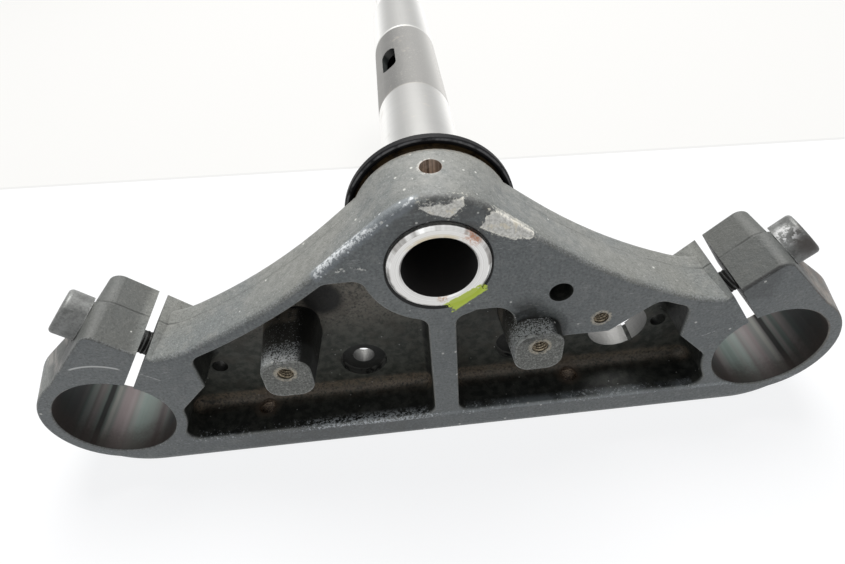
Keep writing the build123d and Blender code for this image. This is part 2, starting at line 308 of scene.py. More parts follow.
    def edges(self, reach):
        """How far a rounded normal leaves the true one: high along edges."""
        node = self.new("ShaderNodeBevel", samples=4)
        self.put(node.inputs["Radius"], reach * MM)
        dot = self.new("ShaderNodeVectorMath", operation="DOT_PRODUCT")
        self.put(dot.inputs[0], node.outputs[0])
        self.put(dot.inputs[1], self.geometry.outputs["Normal"])
        return self.flip(dot.outputs["Value"])

    def open_air(self, reach):
        """Near 1 on open faces and low in pockets, holes and corners."""
        node = self.new("ShaderNodeAmbientOcclusion", samples=8, only_local=True)
        self.put(node.inputs["Distance"], reach * MM)
        return node.outputs["AO"]

    def finish(self, color, roughness, metallic=0.0):
        self.put(self.shader.inputs["Base Color"], color)
        self.put(self.shader.inputs["Roughness"], roughness)
        self.put(self.shader.inputs["Metallic"], metallic)
        return self.material


# A stripe of paint from an inspection, which crosses the stem's end and the bracket
MARK = [(0.6, -14.4), (4.2, -19.8), (14.9, -11.6), (11.6, -7.9)]
MARK_COLOR = (0.66, 0.84, 0.085)
MARK_PALE = (0.80, 0.93, 0.15)
MARK_WOBBLE = 2.0

# Where the casting is worn, in millimetres across the underside
CHIP_REAR = [(-4.4, 21.2), (-1.6, 18.9), (3.8, 16.9), (7.9, 20.6), (7.9, 22.7), (-4.4, 22.7)]
CHIP_SIDE = [
    (12.2, 12.4), (17.4, 9.3), (22.1, 7.2), (28.5, 6.6), (27.2, 9.2),
    (19.5, 15.1), (16.4, 17.6), (14.7, 16.9), (12.7, 14.8),
]
SCUFF = [(-36.5, 0.6), (-28.4, 7.8), (-15.8, 17.0), (-6.0, 23.6)]
DASHES = [((-30.2, 1.6), (-28.4, 2.5)), ((-25.4, 2.4), (-23.4, 2.0)), ((-22.6, 1.5), (-22.0, 1.3))]

# The thin black line round the stem's end, a painted shadow of the gap between stem and casting, drawn
# again further forward where the proud end hides it
LINE_R = (16.6, 16.3)
LINE_SHIFT = (0.0, -1.75)


def uneven(g):
    """Noise about zero that makes outlines ragged, in millimetres."""
    return g.plus(g.times(g.noise(1.5, 4.0, 0.7), 2.6), -1.3)


def paint_mark(g, ragged):
    """The stripe, with a ragged edge."""
    wobble = g.times(ragged, MARK_WOBBLE)
    a = g.plus(g.x, wobble)
    b = g.plus(g.z, wobble)
    return g.times(g.shape(MARK, a, b, 0.25), g.step(g.y, 1.0, 0.2))


def survey(g):
    """The noises and masks of the casting that several looks share."""
    g.fine = g.noise(0.5, 2.0, 0.6)
    g.grain = g.noise(0.95, 3.0, 0.7)
    g.mottle = g.noise(3.4, 3.0, 0.62)
    g.patch = g.noise(9.0, 4.0, 0.6)
    g.cloud = g.noise(38.0, 3.0, 0.5)
    g.ragged = uneven(g)
    g.air = g.open_air(15.0)
    g.across = g.math("ABSOLUTE", g.x)
    g.under = g.times(g.step(g.ny, -0.9, -0.985), g.step(g.y, 0.7, 0.3))
    g.walls = g.flip(g.under)
    pocket = g.most(g.shape(POCKET, g.across, g.z, 0.4), g.shape(POCKET_END, g.across, g.z, 0.4))
    g.pocket = g.times(pocket, g.step(g.y, 0.3, 1.6), g.step(g.ny, 0.6, 0.3))
    g.posts = 0.0
    for place in POSTS:
        beside = g.times(g.step(g.away(g.x, g.z, place), 11.6, 10.9), g.step(g.y, 16.2, 15.6))
        g.posts = g.most(beside, g.posts)


def base_paint(g):
    """Grey satin paint: dark and even below, coarse and speckled on the walls."""
    low = g.mix(g.step(g.cloud, 0.35, 0.65), (0.128, 0.142, 0.147), (0.160, 0.173, 0.176))
    low = g.mix(g.times(g.step(g.mottle, 0.5, 0.68), 0.55), low, (0.205, 0.216, 0.212))
    low = g.mix(g.times(g.step(g.mottle, 0.46, 0.3), 0.5), low, (0.085, 0.094, 0.098))
    low = g.mix(g.times(g.step(g.grain, 0.50, 0.36), 0.6), low, (0.062, 0.068, 0.068))
    low = g.mix(g.times(g.step(g.grain, 0.53, 0.66), 0.4), low, (0.29, 0.30, 0.295))
    wall = g.mix(g.step(g.cloud, 0.35, 0.65), (0.155, 0.168, 0.168), (0.190, 0.194, 0.180))
    wall = g.mix(g.times(g.step(g.mottle, 0.48, 0.7), 0.5), wall, (0.250, 0.252, 0.236))
    wall = g.mix(g.times(g.step(g.grain, 0.47, 0.30), 0.62), wall, (0.060, 0.063, 0.058))
    wall = g.mix(g.times(g.step(g.grain, 0.56, 0.74), 0.7), wall, (0.37, 0.375, 0.355))
    wall = g.mix(g.times(g.step(g.fine, 0.58, 0.70), 0.4), wall, (0.40, 0.405, 0.39))
    wall = g.mix(g.times(g.step(g.fine, 0.42, 0.32), 0.5), wall, (0.075, 0.078, 0.072))
    dusty = g.times(g.step(g.across, 78.0, 40.0), g.step(g.y, 2.0, 9.0), g.step(g.mottle, 0.3, 0.6))
    wall = g.mix(g.times(dusty, 0.4), wall, (0.30, 0.302, 0.285))
    color = g.mix(g.under, wall, low)
    rough = g.blend(g.under, g.blend(g.patch, 0.52, 0.64), g.blend(g.patch, 0.42, 0.56))

    # The outer lugs are darker: partly painted shade of their end faces, drafted away from the light, and
    # partly darker paint
    left = g.times(g.step(g.x, -99.0, -102.0), g.step(g.z, -37.0, -33.0), 0.68)
    right = g.times(g.step(g.x, 95.0, 98.0), g.step(g.z, -40.0, -34.0), 0.72)
    lug_paint_and_shade = g.times(g.most(left, right), g.walls)
    color = g.mix(lug_paint_and_shade, color, (0.045, 0.047, 0.044))

    # Dirt on the clamps' flanks: brown on one side, pale streaks on the other
    flank = g.times(g.step(g.x, 119.0, 127.0), g.step(g.z, -66.0, -50.0), g.walls)
    color = g.mix(g.times(flank, g.step(g.mottle, 0.38, 0.6), 0.7), color, (0.135, 0.104, 0.088))
    color = g.mix(g.times(flank, g.step(g.patch, 0.38, 0.78), 0.5), color, (0.46, 0.42, 0.375))
    flank = g.times(g.step(g.x, -122.0, -128.0), g.step(g.z, -66.0, -50.0), g.walls)
    streak = g.noise(3.0, 3.0, 0.6, (3.0, 5.0, 1.0))
    color = g.mix(g.times(flank, g.step(streak, 0.46, 0.62), 0.6), color, (0.34, 0.32, 0.30))
    foot = g.times(g.step(g.z, -85.5, -88.5), g.step(g.mottle, 0.3, 0.6))
    color = g.mix(g.times(foot, 0.6), color, (0.135, 0.112, 0.096))
    return color, rough


def pocket_dirt(g, color, rough):
    """Black grease with brown dust in the pockets and round the posts, over painted shade in the hollows
    and painted shadows beside the posts.
    """
    # Painted shade and grease: near black wherever the occlusion mask finds a hollow or corner, and
    # across the pockets
    hollow_grease_and_shade = g.most(g.step(g.air, 0.9, 0.5), g.pocket)
    grease = g.mix(g.step(g.mottle, 0.4, 0.64), (0.008, 0.009, 0.008), (0.033, 0.035, 0.030))
    color = g.mix(g.times(hollow_grease_and_shade, 0.96), color, grease)
    deep = g.times(g.pocket, g.step(g.y, 15.2, 16.2), g.step(g.ny, -0.8, -0.95))
    film = g.mix(g.step(g.mottle, 0.36, 0.64), (0.036, 0.040, 0.033), (0.092, 0.094, 0.080))
    color = g.mix(g.times(deep, g.step(g.x, *RIGHT_POCKET, 0.8, 0.45)), color, film)
    dust = g.times(deep, g.step(g.z, -47.0, -24.0), g.step(g.x, 8.0, -4.0), g.step(g.grain, 0.3, 0.6))
    soil = g.mix(g.patch, (0.19, 0.175, 0.148), (0.34, 0.305, 0.26))
    color = g.mix(g.times(dust, 0.85), color, soil)
    dust = g.times(deep, g.step(g.patch, 0.48, 0.64), 0.5)
    color = g.mix(dust, color, (0.062, 0.056, 0.046))
    ledge = g.times(g.band(g.z, -75.0, -69.8, 1.2), g.step(g.y, 10.0, 14.0), g.step(g.grain, 0.28, 0.62))
    soil = g.mix(g.patch, (0.16, 0.128, 0.095), (0.33, 0.265, 0.20))
    color = g.mix(g.times(ledge, g.step(g.x, *RIGHT_POCKET, 0.85, 0.55)), color, soil)
    # Painted shadow: a black patch on the floor beside the left post, where its shadow falls
    post_shadow = g.times(g.near((-40.0, 16.5, -24.0), 5.5, 3.5), g.step(g.y, 2.0, 5.0))
    color = g.mix(g.times(post_shadow, 0.95), color, (0.005, 0.005, 0.005))
    rough = g.blend(hollow_grease_and_shade, rough, g.blend(g.patch, 0.36, 0.56))

    # The posts: painted shade on their right sides, blasted silver near the face kept to the lit left
    # side as partly painted highlight, dusty at the foot
    side = g.times(g.posts, g.walls, g.step(g.y, -6.9, -6.4))
    # Painted shade: the posts' sides that face +x, away from the light, go near black
    right_side_shade = g.mix(g.step(g.nx, -0.25, 0.45), (0.070, 0.067, 0.058), (0.005, 0.005, 0.005))
    color = g.mix(g.times(side, 0.92), color, g.mix(g.times(g.grain, 0.7), right_side_shade, (0.012, 0.012, 0.010)))
    foot = g.times(side, g.step(g.y, 8.0, 11.0), g.step(g.nx, 0.3, -0.1), g.step(g.mottle, 0.34, 0.55))
    color = g.mix(g.times(foot, 0.85), color, (0.21, 0.185, 0.15))
    grit = g.plus(g.times(g.fine, 0.75), g.times(g.grain, 0.25))
    blast = g.step(g.plus(grit, g.step(g.y, 4.5, -5.0, 0.0, 0.18)), 0.56, 0.74)
    shine = g.times(side, blast, g.step(g.nx, 0.6, 0.1))
    color = g.mix(g.times(shine, 0.9), color, (0.62, 0.64, 0.64))
    face = g.step(g.y, *POST_FADE)
    sand = g.mix(g.step(grit, 0.36, 0.62), (0.105, 0.108, 0.10), (0.235, 0.24, 0.225))
    color = g.mix(face, color, sand)
    color = g.mix(g.times(face, g.step(grit, 0.58, 0.66), 0.6), color, (0.50, 0.50, 0.47))
    rim = g.times(g.band(g.ny, -0.93, -0.2, 0.06), g.step(g.y, -5.0, -6.0), g.step(g.mottle, 0.42, 0.6))
    color = g.mix(g.times(rim, g.step(g.nx, 0.6, -0.2, 0.12, 0.55)), color, (0.58, 0.59, 0.56))

    # Painted shadow on the pad behind the right post
    pad_shadow = g.step(g.away(g.x, g.z, (27.5, -24.5)), 9.0, 3.0)
    pad_shadow = g.times(pad_shadow, g.under, g.step(g.mottle, 0.3, 0.5))
    color = g.mix(g.times(pad_shadow, 0.75), color, (0.014, 0.014, 0.013))

    # The front wall's rim: a frost of dust, a painted highlight as a pale bluish line at the right,
    # painted shade at the left
    rim = g.times(g.band(g.z, -77.4, -75.0, 0.5), g.step(g.y, 5.0, 0.4))
    # Painted highlight: a pale bluish line along the right part of the rim
    line = g.times(g.band(g.z, -76.9, -75.1, 0.3), g.step(g.y, 4.6, 1.2), g.step(g.x, -20.0, 10.0))
    color = g.mix(g.times(line, g.step(g.patch, 0.3, 0.55), 0.5), color, (0.34, 0.375, 0.395))
    shade = g.times(g.under, g.step(g.z, -74.0, -78.0), g.band(g.x, -78.0, -8.0, 8.0))
    shade = g.times(shade, g.step(g.mottle, 0.3, 0.6))
    color = g.mix(g.times(shade, 0.55), color, (0.060, 0.064, 0.062))
    thick = g.plus(g.times(g.band(g.x, -50.0, -6.0, 9.0), 0.14), g.times(g.noise(16.0), 0.21))
    frost = g.step(g.plus(g.noise(0.95, 3.0, 0.75), thick), 0.69, 0.76)
    color = g.mix(g.times(rim, frost, 0.9), color, (0.70, 0.74, 0.77))
    return color, rough


def wear(g, color, rough):
    """The parting line, rubbed edges, the scuff, chips, dots and scratches."""
    # The parting line, and a crack along the right lug's lower edge
    seam_y = g.plus(g.y, g.times(g.noise(7.0), 0.8))
    seam = g.times(g.band(seam_y, PARTING + 0.1, PARTING + 0.75, 0.25), g.step(g.nz, 0.05, 0.25))
    seam = g.times(seam, g.step(g.across, 24.0, 32.0), g.step(g.patch, 0.3, 0.5))
    color = g.mix(g.times(seam, g.step(g.across, 88.0, 96.0, 0.3, 0.95)), color, (0.022, 0.023, 0.021))
    crack = g.times(g.step(g.x, 97.0, 98.5), g.step(g.x, 113.0, 108.0), g.band(g.y, 0.05, 1.1, 0.3))
    crack = g.times(crack, g.step(g.z, -31.0, -28.0))
    color = g.mix(g.times(crack, 0.95), color, (0.007, 0.007, 0.007))

    # Rubbed lower edges
    speckle = g.plus(g.times(g.fine, 0.7), g.times(g.patch, 0.5))
    rubbed = g.times(g.band(g.ny, -0.95, -0.25, 0.06), g.step(g.air, 0.4, 0.7), g.step(g.y, 2.5, 1.2))
    rubbed = g.times(rubbed, g.step(speckle, 0.52, 0.72), g.flip(g.step(g.x, 94.0, 97.0)))
    color = g.mix(g.times(rubbed, 0.25), color, (0.46, 0.48, 0.49))
    roll = g.times(g.band(g.ny, -0.9, -0.55, 0.12), g.step(g.nz, 0.1, 0.3), g.step(g.y, 4.0, 2.5))
    color = g.mix(g.times(roll, g.step(speckle, 0.56, 0.76), 0.18), color, (0.46, 0.47, 0.47))

    # A dark, pitted stretch behind the stem
    worn = g.times(g.near((3.0, 0.0, 19.5), 10.0, 12.0), g.step(g.y, 3.0, 1.0))
    color = g.mix(g.times(worn, g.step(g.mottle, 0.35, 0.55), 0.6), color, (0.052, 0.053, 0.052))

    # The scuff: a bluish haze with a white crest
    far = None
    for start, end in zip(SCUFF, SCUFF[1:]):
        gap = g.ray(g.x, g.z, start, end)
        far = gap if far is None else g.math("MINIMUM", far, gap)
    low = g.step(g.y, 3.4, 2.2)
    haze = g.times(g.step(g.plus(far, g.times(g.ragged, 1.2)), 2.6, 0.6), low)
    color = g.mix(g.times(haze, 0.5), color, (0.30, 0.335, 0.37))
    crest = g.plus(far, g.times(g.ragged, 0.9), g.step(g.x, -22.0, -12.0, 0.0, 0.55))
    crest = g.times(g.step(crest, 0.85, 0.3), g.step(g.grain, 0.42, 0.52), low)
    crest = g.most(crest, g.times(g.dots(1.5, 0.42, 0.35), g.step(haze, 0.1, 0.4)))
    color = g.mix(g.times(crest, 0.95), color, (0.80, 0.83, 0.85))

    # Chips down to bare metal
    a = g.plus(g.x, g.times(g.ragged, 0.55))
    b = g.plus(g.z, g.times(g.ragged, -0.5))
    shallow = g.step(g.y, 3.4, 2.4)
    rear = g.shape(CHIP_REAR, a, b, 0.18)
    scar = g.times(g.step(g.plus(g.z, g.times(g.ragged, 0.9)), 21.4, 21.9), g.step(g.x, 5.5, 4.0))
    rear = g.math("SUBTRACT", rear, g.times(rear, scar, g.step(g.grain, 0.38, 0.5)))
    torn = g.plus(g.times(g.mottle, 6.0), -3.0)
    side = g.shape(CHIP_SIDE, g.plus(a, torn), g.plus(b, g.times(torn, -0.8)), 0.18)
    holes = g.step(g.noise(1.5, 3.0, 0.7), 0.66, 0.70)
    side = g.math("SUBTRACT", side, g.times(side, holes, 0.9))
    bare = g.times(g.most(rear, side), shallow)
    outside = g.times(g.most(g.shape(CHIP_REAR, a, b, 2.2), g.shape(CHIP_SIDE, a, b, 2.2)), shallow)
    chalk = g.times(g.band(outside, 0.2, 0.62, 0.1), g.flip(bare), g.step(g.grain, 0.54, 0.62))
    color = g.mix(g.times(chalk, 0.8), color, (0.62, 0.61, 0.54))
    metal = g.mix(g.step(g.grain, 0.36, 0.64), (0.58, 0.57, 0.53), (0.86, 0.85, 0.81))
    metal = g.mix(g.times(g.step(g.mottle, 0.54, 0.66), 0.6), metal, (0.84, 0.77, 0.60))
    burr = g.times(g.step(outside, 0.72, 0.56), g.step(g.x, 2.0, 8.0), g.step(g.grain, 0.42, 0.54))
    metal = g.mix(g.times(burr, 0.85), metal, (0.98, 0.95, 0.86))
    color = g.mix(bare, color, metal)
    rough = g.blend(bare, rough, 0.55)

    # White dots, thickest round the chips, and a few dashes
    flecks = g.times(g.dots(4.6, 0.55, 0.2), g.flip(g.pocket))
    flecks = g.most(flecks, g.times(g.dots(2.4, 0.50, 0.3), g.near((-3.0, 2.0, 19.0), 15.0, 11.0)))
    flecks = g.most(flecks, g.times(g.dots(3.1, 0.35, 0.3), g.pocket, 0.5))
    for start, end in DASHES:
        gap = g.plus(g.ray(g.x, g.z, start, end), g.times(g.ragged, 0.9))
        flecks = g.most(flecks, g.times(g.step(gap, 0.55, 0.25), g.step(g.grain, 0.42, 0.5), g.under))
    color = g.mix(g.times(flecks, 0.85), color, (0.68, 0.68, 0.65))

    # Scratches: one curved on the left clamp, and a spray of faint ones
    bow = g.math("ABSOLUTE", g.plus(g.away(g.x, g.z, (-117.6, -46.6)), -18.9))
    bow = g.times(g.step(bow, 0.55, 0.15), g.band(g.x, -122.6, -107.4, 0.6), g.step(g.z, -34.0, -32.5))
    cut = g.step(g.ray(g.x, g.z, (-101.7, -34.0), (-96.6, -38.6)), 0.35, 0.08)
    nick = g.step(g.ray(g.x, g.z, (91.5, -45.5), (95.6, -43.8)), 0.3, 0.08)
    cut = g.times(g.most(cut, nick), g.step(g.grain, 0.35, 0.55), 0.5)
    hair = g.noise(0.5, 2.0, 0.5, (20.0, 1.0, 1.0))
    hair = g.times(g.band(hair, 0.60, 0.615, 0.008), g.step(g.patch, 0.5, 0.62), 0.45)
    scratch = g.times(g.most(bow, cut, hair), g.under)
    color = g.mix(g.times(scratch, 0.9), color, (0.70, 0.71, 0.70))
    return color, rough, bare


def tapped_holes(g, color):
    """Bare collars and dark wells of the tapped holes, rust in the blind ones."""
    for place, reach in [*((p, POST_HOLE_R) for p in POSTS), (PAD_TAP, PAD_TAP_R)]:
        gap = g.away(g.x, g.z, place)
        top = g.under if place == PAD_TAP else g.step(g.y, *POST_FADE)
        collar = g.times(g.step(g.plus(gap, g.times(g.ragged, 0.5)), reach + 1.5, reach + 0.5), top)
        color = g.mix(g.times(collar, g.step(g.grain, 0.36, 0.56), 0.85), color, (0.55, 0.50, 0.40))
        well = g.times(g.step(gap, reach + 0.12, reach - 0.02), g.step(g.y, -7.2, -6.8))
        color = g.mix(well, color, g.mix(g.grain, (0.020, 0.016, 0.011), (0.11, 0.085, 0.055)))
    for wall_x in WALL_HOLES:
        gap = g.away(g.x, g.y, (wall_x, WALL_HOLE_Y))
        well = g.times(g.step(gap, WALL_HOLE_R + 0.3, WALL_HOLE_R - 0.02), g.step(g.z, -75.0, -76.0))
        color = g.mix(well, color, g.mix(g.grain, (0.030, 0.020, 0.013), (0.17, 0.12, 0.085)))
        stain = g.step(g.plus(gap, g.times(g.ragged, 1.2)), WALL_HOLE_R + 3.0, WALL_HOLE_R)
        stain = g.times(stain, g.band(g.z, -76.5, -68.0, 1.0))
        color = g.mix(g.times(stain, 0.5), color, (0.10, 0.075, 0.055))

    # The blind hole in the rear of the boss
    gap = g.away(g.x, g.y, REAR_HOLE)
    back = g.step(g.z, 15.0, 16.5)
    lip = g.times(g.step(g.plus(gap, g.times(g.ragged, 0.5)), REAR_HOLE_R + 0.9, REAR_HOLE_R + 0.3), back)
    lip = g.times(lip, g.step(g.grain, 0.46, 0.56), g.step(g.x, 3.0, -1.0))
    color = g.mix(g.times(lip, 0.85), color, (0.58, 0.57, 0.53))
    well = g.times(g.step(gap, REAR_HOLE_R + 0.1, REAR_HOLE_R - 0.05), back)
    streak = g.step(g.ripple(g.x, 0.9, 2.0, 0.6), 0.38, 0.62)
    rust = g.mix(streak, (0.22, 0.16, 0.125), (0.78, 0.64, 0.53))
    color = g.mix(well, color, rust)

    # Greasy dirt on the boss below the dust seal, darkened further as painted shade under the seal
    gap = g.away(g.x, g.z, AXIS)
    ring = g.times(g.step(gap, 28.5, 27.5), g.step(g.y, 20.3, 23.6), g.step(g.mottle, 0.28, 0.5))
    boss_grease_and_shade = g.mix(g.step(g.grain, 0.4, 0.66), (0.022, 0.019, 0.015), (0.16, 0.11, 0.05))
    color = g.mix(g.times(ring, 0.85), color, boss_grease_and_shade)

    # Painted shadow: the black line round the stem's end, in the gap between stem and casting
    gap = g.math("MINIMUM", gap, g.away(g.x, g.z, LINE_SHIFT))
    g.gasket = g.times(g.step(gap, *LINE_R), g.step(g.y, 0.8, 0.2))
    color = g.mix(g.gasket, color, (0.002, 0.002, 0.002))
    return color


def machined_walls(g, color, rough):
    """Bare walls: streaked fork bores, the lock bore and the floor holes."""
    forks = None
    for side in (-1, 1):
        gap = g.away(g.x, g.z, (side * FORK_X, FORK_Z))
        wall = g.step(gap, BORE_R + 0.22, BORE_R + 0.04)
        out = g.times(g.math("SUBTRACT", g.x, side * FORK_X), -float(side))
        angle = g.math("ARCTAN2", out, g.math("SUBTRACT", FORK_Z, g.z))
        wander = g.plus(angle, g.times(g.noise(9.0), 0.03))
        streak = g.ripple(g.plus(angle, 3.0 * side), 0.24, 2.0, 0.55)
        tint = g.ripple(g.plus(angle, 7.0 * side), 0.33)
        film = g.mix(g.step(tint, 0.40, 0.60), (0.090, 0.078, 0.078), (0.072, 0.092, 0.085))
        film = g.mix(g.times(g.step(streak, 0.42, 0.62), 0.4), film, (0.16, 0.157, 0.152))
        film = g.mix(g.times(g.step(streak, 0.46, 0.34), 0.4), film, (0.034, 0.032, 0.032))
        # Bands by angle: the ends of the seen arc darker, a black stripe, a pale stripe beside it as
        # painted light coming in through the slot, then pink and green tints
        ends = g.most(g.step(wander, 0.28, 0.72), g.step(wander, -1.05, -1.4))
        film = g.mix(g.times(ends, 0.88), film, (0.016, 0.019, 0.019))
        film = g.mix(g.times(g.band(wander, -0.85, -0.75, 0.02), 0.97), film, (0.006, 0.006, 0.006))
        film = g.mix(g.times(g.band(wander, -0.71, -0.63, 0.03), 0.5), film, (0.21, 0.205, 0.19))
        film = g.mix(g.times(g.band(wander, -0.60, -0.35, 0.08), 0.5), film, (0.135, 0.105, 0.11))
        film = g.mix(g.times(g.band(wander, -0.24, 0.20, 0.08), 0.5), film, (0.115, 0.15, 0.138))
        mud = g.step(g.plus(g.y, g.times(g.patch, 14.0), g.times(g.grain, 5.0)), 22.0, 11.0)
        earth = g.mix(g.grain, (0.022, 0.017, 0.015), (0.060, 0.047, 0.041))
        film = g.mix(g.times(mud, 0.8), film, earth)
        color = g.mix(wall, color, film)
        forks = wall if forks is None else g.most(forks, wall)
    rough = g.blend(forks, rough, g.blend(g.patch, 0.45, 0.6))

    # The lock bore, the floor holes and their seats
    gap = g.away(g.x, g.z, LOCK)
    bright = g.times(g.step(gap, LOCK_R + 0.25, LOCK_R + 0.05), g.step(g.y, 15.0, 16.0))
    for hole_x in FLOOR_HOLES:
        gap = g.away(g.x, g.z, (hole_x, FLOOR_HOLE_Z))
        hole = g.times(g.step(gap, FLOOR_HOLE_R + 0.3, FLOOR_HOLE_R + 0.05), g.step(g.y, 17.5, 18.5))
        bright = g.most(bright, hole)
        seat = g.times(g.band(gap, FLOOR_HOLE_R + 0.1, FLOOR_SEAT_R, 0.15), g.step(g.y, 17.5, 18.6))
        color = g.mix(g.times(seat, 0.8), color, (0.016, 0.016, 0.016))
        ring = g.times(g.band(gap, FLOOR_SEAT_R - 0.7, FLOOR_SEAT_R + 0.3, 0.25), g.step(g.y, 16.2, 17.0))
        ring = g.times(ring, g.step(g.mottle, 0.36, 0.5))
        color = g.mix(g.times(ring, 0.6), color, (0.15, 0.15, 0.14))
        rough = g.blend(g.times(seat, 0.8), rough, 0.3)
    rings = g.ripple(g.y, 0.33, 2.0, 0.6)
    color = g.mix(bright, color, g.mix(rings, (0.13, 0.13, 0.127), (0.21, 0.21, 0.205)))
    rough = g.blend(bright, rough, 0.5)
    return color, rough, forks, bright


def cast_paint():
    """Grey satin paint on a casting, with dirt, chips, scuffs and machined bores."""
    g = Graph("cast_paint")
    survey(g)
    color, rough = base_paint(g)
    color, rough = pocket_dirt(g, color, rough)
    color, rough, bare = wear(g, color, rough)
    color = tapped_holes(g, color)
    color, rough, forks, bright = machined_walls(g, color, rough)
    mark = paint_mark(g, g.ragged)
    color = g.mix(g.times(mark, 0.95), color, g.mix(g.patch, MARK_COLOR, MARK_PALE))
    rough = g.blend(mark, rough, 0.6)
    metallic = g.most(g.times(forks, 0.08), g.times(bright, 0.4), g.times(bare, 0.2))
    dull = g.most(g.pocket, forks, g.posts, g.gasket)
    g.put(g.shader.inputs["Specular IOR Level"], g.blend(dull, 0.5, 0.22))
    coarse = g.plus(g.times(g.mottle, 0.14), g.times(g.grain, 0.10), g.times(g.fine, 0.03))
    height = g.plus(g.times(coarse, g.walls), g.times(g.grain, 0.045), g.times(g.mottle, 0.05))
    height = g.times(height, g.flip(forks))
    crease = g.times(g.band(g.across, 9.0, 25.0, 3.0), g.step(g.z, 4.0, 8.0), g.step(g.y, 1.5, 4.0))
    g.bump(height, g.soften(6.0, crease))
    return g.finish(color, rough, metallic)


# Painted shade: what the stem's top, its brightest side under the lamp, is toned down to
STEEL_TOP_SHADE = (0.10, 0.10, 0.097)


def turned_steel():
    """The stem: turned and ground steel, stained, dark inside."""
    g = Graph("turned_steel")
    r = g.away(g.x, g.z, AXIS)
    patch = g.noise(6.0, 4.0, 0.6)
    grain = g.noise(0.7, 3.0, 0.6)
    face = g.step(g.y, 1.0, -0.6)
    lines = g.noise(0.5, 3.0, 0.7, (60.0, 1.0, 60.0))
    circles = g.ripple(r, 0.3, 3.0, 0.7)
    marks = g.blend(face, lines, circles)
    color = g.mix(g.step(marks, 0.3, 0.7), (0.86, 0.855, 0.84), (0.93, 0.925, 0.91))
    sheen = g.mix(g.step(circles, 0.35, 0.65), (0.54, 0.53, 0.51), (0.70, 0.695, 0.68))
    color = g.mix(g.times(face, 0.8), color, sheen)
    angle = g.math("ARCTAN2", g.z, g.x)
    glint = g.ripple(angle, 0.52, 3.0, 0.6)
    bevel = g.times(face, g.step(r, STEM_R - 0.7, STEM_R - 0.4))
    color = g.mix(g.times(bevel, g.step(glint, 0.44, 0.6), 0.75), color, (0.26, 0.245, 0.23))
    color = g.mix(g.times(bevel, g.step(glint, 0.44, 0.36), 0.6), color, (0.9, 0.9, 0.88))
    amber = g.times(face, g.step(r, 13.6, 12.4), g.step(g.z, 7.5, 10.5), g.step(patch, 0.36, 0.56))
    color = g.mix(g.times(amber, 0.6), color, (0.52, 0.43, 0.25))

    # The ground band, and painted light and shade on the sides: the band lighter towards +x, the stem
    # darker underneath and toned down on top
    ground = g.band(g.y, GROUND_LOW, GROUND_HIGH, 0.4)
    grey = g.mix(patch, (0.17, 0.167, 0.16), (0.245, 0.239, 0.228))
    grey = g.mix(g.step(g.nx, -0.1, 0.9), grey, (0.62, 0.61, 0.59))
    below = g.times(g.step(g.nz, 0.1, -0.3), g.step(g.y, *STEM_OUT))
    color = g.mix(g.times(below, 0.8), color, (0.42, 0.415, 0.40))
    dull = g.times(g.step(g.nz, 0.5, 1.0), g.step(g.y, *STEM_OUT))
    grey = g.mix(g.times(dull, 0.6), grey, STEEL_TOP_SHADE)
    color = g.mix(g.times(dull, 0.8), color, STEEL_TOP_SHADE)
    color = g.mix(g.times(ground, 0.9), color, grey)
    color = g.mix(g.times(ground, g.step(grain, 0.56, 0.7), 0.25), color, (0.44, 0.43, 0.41))
    rough = g.plus(g.blend(marks, 0.50, 0.58), g.times(face, -0.14))

    # The shoulder with a painted highlight, stronger on its left side, the groove, stains and rust
    shoulder = g.band(g.y, 162.4, 164.4, 0.3)
    shoulder = g.times(shoulder, g.step(g.nx, 0.5, -0.4, 0.35, 0.8))
    color = g.mix(shoulder, color, (0.62, 0.62, 0.60))
    groove = g.band(g.y, 95.0, 96.0, 0.25)
    color = g.mix(g.times(groove, 0.5), color, (0.30, 0.29, 0.27))
    stain = g.times(g.step(patch, 0.6, 0.72), g.step(g.y, 20.0, 40.0), 0.2)
    color = g.mix(stain, color, (0.40, 0.36, 0.30))
    rust = g.times(g.near((10.6, -1.5, 11.0), 1.2, 3.2), g.step(grain, 0.34, 0.62))
    color = g.mix(g.times(rust, 0.8), color, (0.40, 0.17, 0.085))
    rust = g.times(g.near((0.4, -1.6, -11.8), 0.6, 1.8), g.step(grain, 0.4, 0.6))
    color = g.mix(g.times(rust, 0.7), color, (0.34, 0.17, 0.06))

    # The dark bore and window, and the paint mark
    bore = g.times(g.step(r, STEM_BORE_R + 0.25, STEM_BORE_R + 0.05), g.step(g.y, -1.5, -1.2))
    color = g.mix(bore, color, g.mix(patch, (0.008, 0.008, 0.009), (0.022, 0.019, 0.017)))
    mark = paint_mark(g, uneven(g))
    color = g.mix(g.times(mark, 0.95), color, g.mix(patch, MARK_COLOR, MARK_PALE))
    window = g.times(g.step(r, STEM_R - 0.1, STEM_R - 0.3), g.band(g.y, WINDOW_LOW, WINDOW_HIGH, 1.0))
    color = g.mix(window, color, (0.014, 0.018, 0.017))
    rough = g.blend(g.most(bore, mark, window), rough, 0.65)
    metallic = g.flip(g.most(g.times(g.most(bore, window), 0.8), mark))
    height = g.plus(g.times(marks, 0.006), g.times(patch, 0.006), g.times(mark, 0.05))
    g.bump(height)
    return g.finish(color, rough, metallic)


